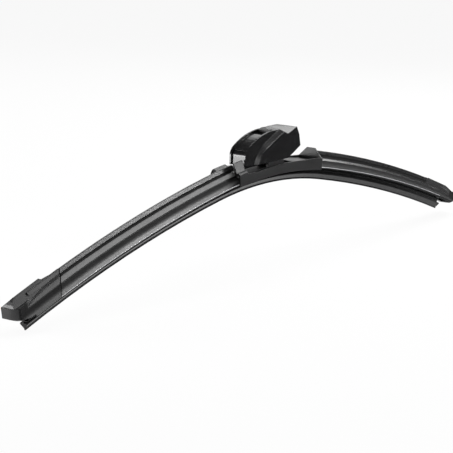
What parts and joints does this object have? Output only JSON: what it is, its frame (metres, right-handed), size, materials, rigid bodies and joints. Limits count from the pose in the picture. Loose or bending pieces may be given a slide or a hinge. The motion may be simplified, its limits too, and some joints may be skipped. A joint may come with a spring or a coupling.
{
  "type": "wiper blade",
  "caption": "Flat beam wiper blade, curved along its length, with rubber spoilers, end caps and a pivoting adapter in the middle that takes the hook of a wiper arm.",
  "frame": {"origin": "middle of the flat seat on top of the adapter, where the wiper arm's hook lies", "axes": "+X along the blade towards the end that faces away from the hook's bend, +Y across it to the plain far flank of the spoiler, +Z out of that seat, away from the glass"},
  "size_m": [0.4442, 0.0174, 0.0824],
  "materials": {
    "rubber": "dull black natural rubber",
    "spoiler_rubber": "satin black thermoplastic rubber",
    "spring_steel": "cold rolled spring strip",
    "cap_plastic": "satin black moulded plastic",
    "base_steel": "black coated pressed steel",
    "connector_plastic": "satin black moulded plastic",
    "pin_steel": "turned steel rivet",
    "bush_plastic": "natural slippery plastic",
    "adapter_plastic": "semi gloss black moulded plastic",
    "button_plastic": "matte black moulded plastic"
  },
  "bodies": {
    "adapter": {"adapter_body": "adapter_plastic", "adapter_cover": "adapter_plastic", "pivot_bush": "bush_plastic", "button_spring": "spring_steel"},
    "blade": {"wiper_rubber": "rubber", "rail_near": "spring_steel", "rail_far": "spring_steel", "spoiler_left": "spoiler_rubber", "spoiler_right": "spoiler_rubber", "end_cap_left": "cap_plastic", "end_cap_right": "cap_plastic", "connector_base": "base_steel", "connector_cover": "connector_plastic", "pivot_pin": "pin_steel"},
    "button": {"release_button": "button_plastic"}
  },
  "joints": [
    {"name": "blade_pivot", "type": "hinge", "parent": "adapter", "child": "blade", "pos_m": [0.0112, 0, -0.01205], "axis": [0, -1, 0], "range_deg": [-5, 20]},
    {"name": "button_press", "type": "slide", "parent": "adapter", "child": "button", "axis": [0, 0, -1], "range_m": [0, 0.0022], "stiffness_N_per_m": 400, "deforming": ["button_spring"]}
  ]
}
